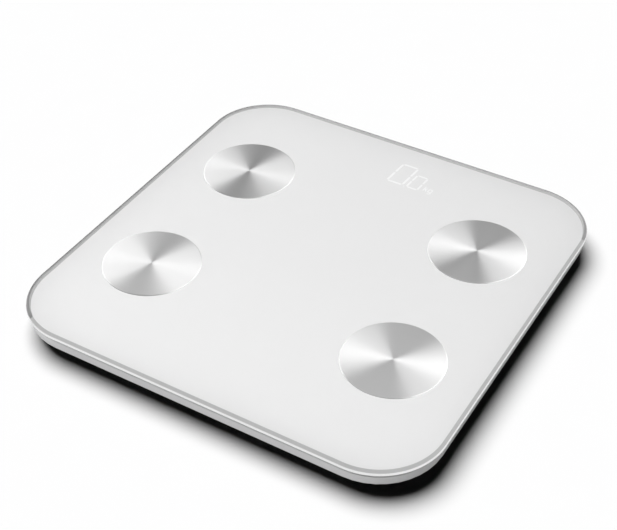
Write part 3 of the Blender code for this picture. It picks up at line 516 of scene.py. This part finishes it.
def turned(mesh_tool, profile, centre, steps):
    """A closed solid of revolution. The profile runs from the axis back to the axis."""
    bottom = mesh_tool.verts.new((centre[0], centre[1], profile[0][1]))
    top = mesh_tool.verts.new((centre[0], centre[1], profile[-1][1]))
    rows = []
    for radius, z in profile[1:-1]:
        rows.append([mesh_tool.verts.new((x, y, z)) for x, y in circle(radius, steps, centre)])
    for k in range(steps):
        after = (k + 1) % steps
        mesh_tool.faces.new((bottom, rows[0][after], rows[0][k]))
        mesh_tool.faces.new((top, rows[-1][k], rows[-1][after]))
        for lower, upper in zip(rows, rows[1:]):
            mesh_tool.faces.new((lower[k], lower[after], upper[after], upper[k]))


def bore(piece, low, high):
    """Cuts the studs' holes through a piece and keeps the result as its mesh."""
    drill = bmesh.new()
    for side in SIDES:
        hole = circle(STUD_HOLE, HOLE_STEPS, centre_of("electrode_" + side))
        flat_layer(drill, hole, low - DRILL_OVERRUN, high + DRILL_OVERRUN)
    tool = new_piece("drill", drill, None)
    cut = piece.modifiers.new("bore", "BOOLEAN")
    cut.object = tool
    cut.solver = "EXACT"
    bpy.context.view_layer.update()
    shape = piece.evaluated_get(bpy.context.evaluated_depsgraph_get())
    result = bpy.data.meshes.new_from_object(shape)
    piece.modifiers.clear()
    piece.data = result
    bpy.data.objects.remove(tool)


def stroke(mesh_tool, start, end, width):
    """A flat straight stroke with pointed ends."""
    along = (end - start).normalized()
    side = Vector((-along.y, along.x)) * width / 2
    tip = along * width / 2
    outline = (start, start + tip + side, end - tip + side, end, end - tip - side,
               start + tip - side)
    flat_layer(mesh_tool, outline, SIGN_LOW, SIGN_HIGH)


# --- Pieces -------------------------------------------------------------------------------------


def make_glass():
    """The glass platform with its full-round edge and a hole for each disc's stud."""
    low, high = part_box("glass_platform")
    half = (high.x - low.x) / 2
    edge_radius = (high.z - low.z) / 2
    middle = (high.z + low.z) / 2
    rings = []
    for step in range(EDGE_STEPS + 1):
        angle = math.pi * (step / EDGE_STEPS - 0.5)
        inset = edge_radius * (1 - math.cos(angle))
        outline = rounded_square(half - inset, GLASS_CORNER - inset)
        rings.append([(x, y, middle + edge_radius * math.sin(angle)) for x, y in outline])
    tool = bmesh.new()
    skin(tool, rings)
    piece = new_piece("platform_glass", tool, FINISHES["glass_platform"],
                      lambda face: len(face.verts) == 4)
    bore(piece, low.z, high.z)
    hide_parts("glass_platform")
    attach(piece, "scale_body")


def make_ink():
    """The white ink, a flat sheet over all but the round edge."""
    _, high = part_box("glass_platform")
    outline = rounded_square(high.x - INK_INSET, GLASS_CORNER - INK_INSET)
    tool = bmesh.new()
    flat_layer(tool, outline, INK_LOW, INK_HIGH)
    piece = new_piece("platform_ink", tool, ink("white_ink", 0.86, 0.875), lambda face: False)
    bore(piece, INK_LOW, INK_HIGH)
    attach(piece, "scale_body")


def border_outline(depth, edge_radius, underside):
    """The border's section from its outer end inwards, as (inset, z) points at this depth."""
    points = []
    for step in range(BORDER_STEPS + 1):
        turn = (BORDER_INNER_ANGLE - BORDER_OUTER_ANGLE) * step / BORDER_STEPS
        angle = math.radians(BORDER_OUTER_ANGLE + turn)
        points.append((edge_radius - (edge_radius - depth) * math.cos(angle),
                       underside + edge_radius - (edge_radius - depth) * math.sin(angle)))
    points.append((INK_INSET, underside + depth))
    return points


def make_border():
    """The grey border, painted shade in a thin closed band around the platform."""
    low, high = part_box("glass_platform")
    edge_radius = (high.z - low.z) / 2
    outer, inner = (border_outline(depth, edge_radius, low.z) for depth in BORDER_DEPTHS)
    rings = []
    for inset, z in outer + inner[::-1] + outer[:1]:
        outline = rounded_square(high.x - inset, GLASS_CORNER - inset)
        rings.append([(x, y, z) for x, y in outline])
    tool = bmesh.new()
    skin(tool, rings, capped=False)
    bmesh.ops.remove_doubles(tool, verts=tool.verts, dist=BORDER_WELD)
    # The border's grey stands in for the shaded glass edge: painted shade.
    finish = ink("border_painted_shade", BORDER_PAINTED_SHADE - 0.01, BORDER_PAINTED_SHADE)
    piece = new_piece("platform_border", tool, finish)
    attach(piece, "scale_body")


def disc_profile(radius, bottom, top):
    """A disc with its stud, from the stud's bottom out to the edge and in to the dimple."""
    profile = [(0, bottom), (STUD_RADIUS - STUD_BEVEL, bottom),
               (STUD_RADIUS, bottom + STUD_BEVEL), (STUD_RADIUS, DISC_SEAT),
               (radius - SEAT_INSET, DISC_SEAT), (radius - RIM_INSET, DISC_SEAT + SEAT_SLOPE)]
    for step in range(DISC_EDGE_STEPS + 1):
        angle = math.pi * (step / DISC_EDGE_STEPS - 0.5)
        profile.append((radius - DISC_EDGE + DISC_EDGE * math.cos(angle),
                        top - DISC_EDGE + DISC_EDGE * math.sin(angle)))
    return profile + [(radius - RIM_INSET, top), (DIMPLE_RADII[0], top),
                      (DIMPLE_RADII[1], top - DIMPLE_DEPTHS[0]), (0, top - DIMPLE_DEPTHS[1])]


def make_discs():
    """Four discs. They cast no shadow and aren't seen through the glass, so the ink stays even."""
    for side in SIDES:
        low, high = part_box("electrode_" + side)
        profile = disc_profile((high.x - low.x) / 2, low.z, high.z)
        tool = bmesh.new()
        turned(tool, profile, centre_of("electrode_" + side), DISC_STEPS)
        piece = new_piece("disc_" + side, tool, FINISHES["electrode_steel"])
        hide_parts("electrode_" + side)
        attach(piece, "scale_body")
        piece.visible_shadow = False
        piece.visible_transmission = False


def slanted(x, y, foot):
    return Vector((x + (y - foot) * SIGN_SLANT, y))


def make_sign(name, tool, finish):
    piece = new_piece(name, tool, finish, lambda face: False)
    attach(piece, "scale_body")


def nought(left, right, foot, top, width):
    """A nought from six straight segments."""
    gap = SEGMENT_GAP * width
    inset = SEGMENT_INSET * width
    middle = (foot + top) / 2
    tool = bmesh.new()
    for x in (left, right):
        for start, end in ((foot, middle), (middle, top)):
            stroke(tool, slanted(x, start + gap, foot), slanted(x, end - gap, foot), width)
    for y in (foot, top):
        stroke(tool, slanted(left + inset, y, foot), slanted(right - inset, y, foot), width)
    return tool


def unit_letters():
    """A small kilogram sign."""
    tool = bmesh.new()
    for ends in LETTER_K + LETTER_G:
        start, end = (slanted(UNIT_CORNER[0] + x * MM, UNIT_CORNER[1] + y * MM, UNIT_FOOT)
                      for x, y in ends)
        stroke(tool, start, end, UNIT_STROKE)
    return tool


def make_signs():
    finish = lit_sign()
    make_sign("sign_nought_large", nought(*LARGE_NOUGHT), finish)
    make_sign("sign_nought_small", nought(*SMALL_NOUGHT), finish)
    point = bmesh.new()
    flat_layer(point, circle(POINT_RADIUS, POINT_STEPS, POINT_CENTRE), SIGN_LOW, SIGN_HIGH)
    make_sign("sign_point", point, finish)
    make_sign("sign_unit", unit_letters(), finish)


def pad_profile(radius, bottom, top):
    """A pad from the middle of its floor side out to its rim and back over its top."""
    profile = [(0, bottom + PAD_GROOVE)]
    ring = PAD_MARGIN
    while ring < radius - PAD_MARGIN:
        profile += [(ring + outwards, bottom + height) for outwards, height in PAD_RING]
        ring += PAD_RING_PITCH
    profile += [(radius + outwards, bottom + height) for outwards, height in PAD_RIM]
    return profile + [(radius, top - PAD_BEVEL), (radius - PAD_BEVEL, top), (0, top)]


def make_pads():
    """Rubber pads with raised rings on the floor side."""
    for side in SIDES:
        low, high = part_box("foot_pad_" + side)
        profile = pad_profile((high.x - low.x) / 2, low.z, high.z)
        tool = bmesh.new()
        turned(tool, profile, centre_of("foot_pad_" + side), PAD_STEPS)
        piece = new_piece("pad_" + side, tool, FINISHES["foot_rubber"])
        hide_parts("foot_pad_" + side)
        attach(piece, "foot_assembly_" + side)


def smooth_shading_tool():
    """Geometry nodes that weld a node's faces and smooth the edges below SMOOTH_BELOW."""
    group = bpy.data.node_groups.new("weld_and_smooth", "GeometryNodeTree")
    group.interface.new_socket("Geometry", in_out="INPUT", socket_type="NodeSocketGeometry")
    group.interface.new_socket("Geometry", in_out="OUTPUT", socket_type="NodeSocketGeometry")

    def add(kind, **settings):
        made = group.nodes.new(kind)
        for key, value in settings.items():
            setattr(made, key, value)
        return made

    start = add("NodeGroupInput")
    end = add("NodeGroupOutput")
    drop = add("GeometryNodeRemoveAttribute")
    drop.inputs["Name"].default_value = "custom_normal"
    weld = add("GeometryNodeMergeByDistance")
    weld.inputs["Distance"].default_value = WELD_DISTANCE
    faces = add("GeometryNodeSetShadeSmooth", domain="FACE")
    edges = add("GeometryNodeSetShadeSmooth", domain="EDGE")
    edges.inputs["Shade Smooth"].default_value = False
    angle = add("GeometryNodeInputMeshEdgeAngle")
    sharp = add("FunctionNodeCompare", data_type="FLOAT", operation="GREATER_THAN")
    sharp.inputs[1].default_value = SMOOTH_BELOW
    link = group.links.new
    link(start.outputs[0], drop.inputs["Geometry"])
    link(drop.outputs[0], weld.inputs["Geometry"])
    link(weld.outputs[0], faces.inputs["Geometry"])
    link(faces.outputs[0], edges.inputs["Geometry"])
    link(angle.outputs["Unsigned Angle"], sharp.inputs[0])
    link(sharp.outputs[0], edges.inputs["Selection"])
    link(edges.outputs[0], end.inputs[0])
    return group


def finish_nodes():
    """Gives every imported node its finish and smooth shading."""
    group = smooth_shading_tool()
    for part in frame["record"]["subparts"]:
        node = frame["nodes"][part["node"]]
        for index in range(len(node.material_slots)):
            node.material_slots[index].link = "OBJECT"
            node.material_slots[index].material = FINISHES[part["material_slot"]]
        smoothing = node.modifiers.new("weld_and_smooth", "NODES")
        smoothing.node_group = group


# --- Studio -------------------------------------------------------------------------------------


def aim(thing, target):
    thing.rotation_mode = "QUATERNION"
    thing.rotation_quaternion = (target - thing.location).to_track_quat("-Z", "Y")


def towards(azimuth, elevation):
    """A direction. Azimuth 0 is behind the object (+Y) and 90 is to its left (-X), in degrees."""
    around, up = math.radians(azimuth), math.radians(elevation)
    return Vector((-math.sin(around) * math.cos(up), math.cos(around) * math.cos(up),
                   math.sin(up)))


def lamp_for(name, kind, azimuth, elevation, power, pieces, link_state, distance=1.5):
    """A lamp aimed at the object, which lights only these pieces (INCLUDE) or all others."""
    lamp = bpy.data.lights.new(name, kind)
    lamp.energy = power
    made = bpy.data.objects.new(name, lamp)
    made.location = towards(azimuth, elevation) * distance
    aim(made, Vector((0, 0, 0)))
    bpy.context.scene.collection.objects.link(made)
    group = bpy.data.collections.new(link_state.lower() + "_" + name)
    for piece in pieces:
        group.objects.link(piece)
    for entry in group.collection_objects:
        entry.light_linking.link_state = link_state
    made.light_linking.receiver_collection = group
    made.visible_camera = False
    return made


def make_floor():
    tool = bmesh.new()
    tool.faces.new([tool.verts.new((x * FLOOR_HALF, y * FLOOR_HALF, 0))
                    for x, y in ((-1, -1), (1, -1), (1, 1), (-1, 1))])
    floor = new_piece("studio_floor", tool, studio_paper())


def make_world():
    """A dim room for bounced light, with brighter walls for reflections and a white backdrop."""
    world = bpy.data.worlds.new("studio")
    world.use_nodes = True
    bpy.context.scene.world = world
    tree = world.node_tree
    background = tree.nodes["Background"]
    background.inputs["Color"].default_value = (1, 1, 1, 1)
    rays = tree.nodes.new("ShaderNodeLightPath")
    strength = tree.nodes.new("ShaderNodeMapRange")
    strength.inputs["To Min"].default_value = ROOM_REFLECTED
    strength.inputs["To Max"].default_value = ROOM_DIFFUSE
    tree.links.new(rays.outputs["Diffuse Depth"], strength.inputs["Value"])
    backdrop = tree.nodes.new("ShaderNodeMapRange")
    backdrop.inputs["To Max"].default_value = 1.0
    tree.links.new(strength.outputs[0], backdrop.inputs["To Min"])
    tree.links.new(rays.outputs["Is Camera Ray"], backdrop.inputs["Value"])
    tree.links.new(backdrop.outputs[0], background.inputs["Strength"])


def make_lights():
    """Broad light for the object and the floor, two fills, and the lamps for the discs' fans."""
    discs = [bpy.data.objects["disc_" + side] for side in SIDES]
    floor = bpy.data.objects["studio_floor"]
    unreflected = []
    for name, power, pieces, link_state in (
            ("broad_lamp", BROAD_POWER, discs + [floor], "EXCLUDE"),
            ("floor_lamp", FLOOR_POWER, [floor], "INCLUDE")):
        broad = lamp_for(name, "SUN", *BROAD_AIM, power, pieces, link_state)
        broad.data.angle = BROAD_SPREAD
        unreflected.append(broad)
    for name, azimuth, elevation, power in FILL_LAMPS:
        fill = lamp_for(name, "AREA", azimuth, elevation, power, discs + [floor], "EXCLUDE",
                        FILL_DISTANCE)
        fill.data.size = FILL_SIZE
        unreflected.append(fill)
    for lamp in unreflected:
        lamp.visible_transmission = False
        lamp.visible_glossy = False
    for name, azimuth, elevation, distance, size, power in DISC_LAMPS:
        made = lamp_for(name, "AREA", azimuth, elevation, power, discs, "INCLUDE", distance)
        made.data.shape = "DISK"
        made.data.size = size
    make_world()


def make_camera():
    lens = bpy.data.cameras.new("camera")
    lens.sensor_width = SENSOR
    lens.lens = CAMERA_LENS
    lens.clip_start = NEAREST_SEEN
    lens.clip_end = FARTHEST_SEEN
    camera = bpy.data.objects.new("camera", lens)
    back = Vector((math.sin(CAMERA_AZIMUTH) * math.cos(CAMERA_ELEVATION),
                   -math.cos(CAMERA_AZIMUTH) * math.cos(CAMERA_ELEVATION),
                   math.sin(CAMERA_ELEVATION)))
    camera.location = LOOK_AT + back * CAMERA_DISTANCE
    camera.rotation_mode = "QUATERNION"
    turn = Matrix.Rotation(CAMERA_ROLL, 4, back).to_quaternion()
    camera.rotation_quaternion = turn @ (-back).to_track_quat("-Z", "Y")
    bpy.context.scene.collection.objects.link(camera)
    bpy.context.scene.camera = camera


make_camera()
finish_nodes()
make_glass()
make_ink()
make_border()
make_discs()
make_signs()
make_pads()
make_floor()
make_lights()
bpy.context.scene.view_settings.view_transform = "Standard"
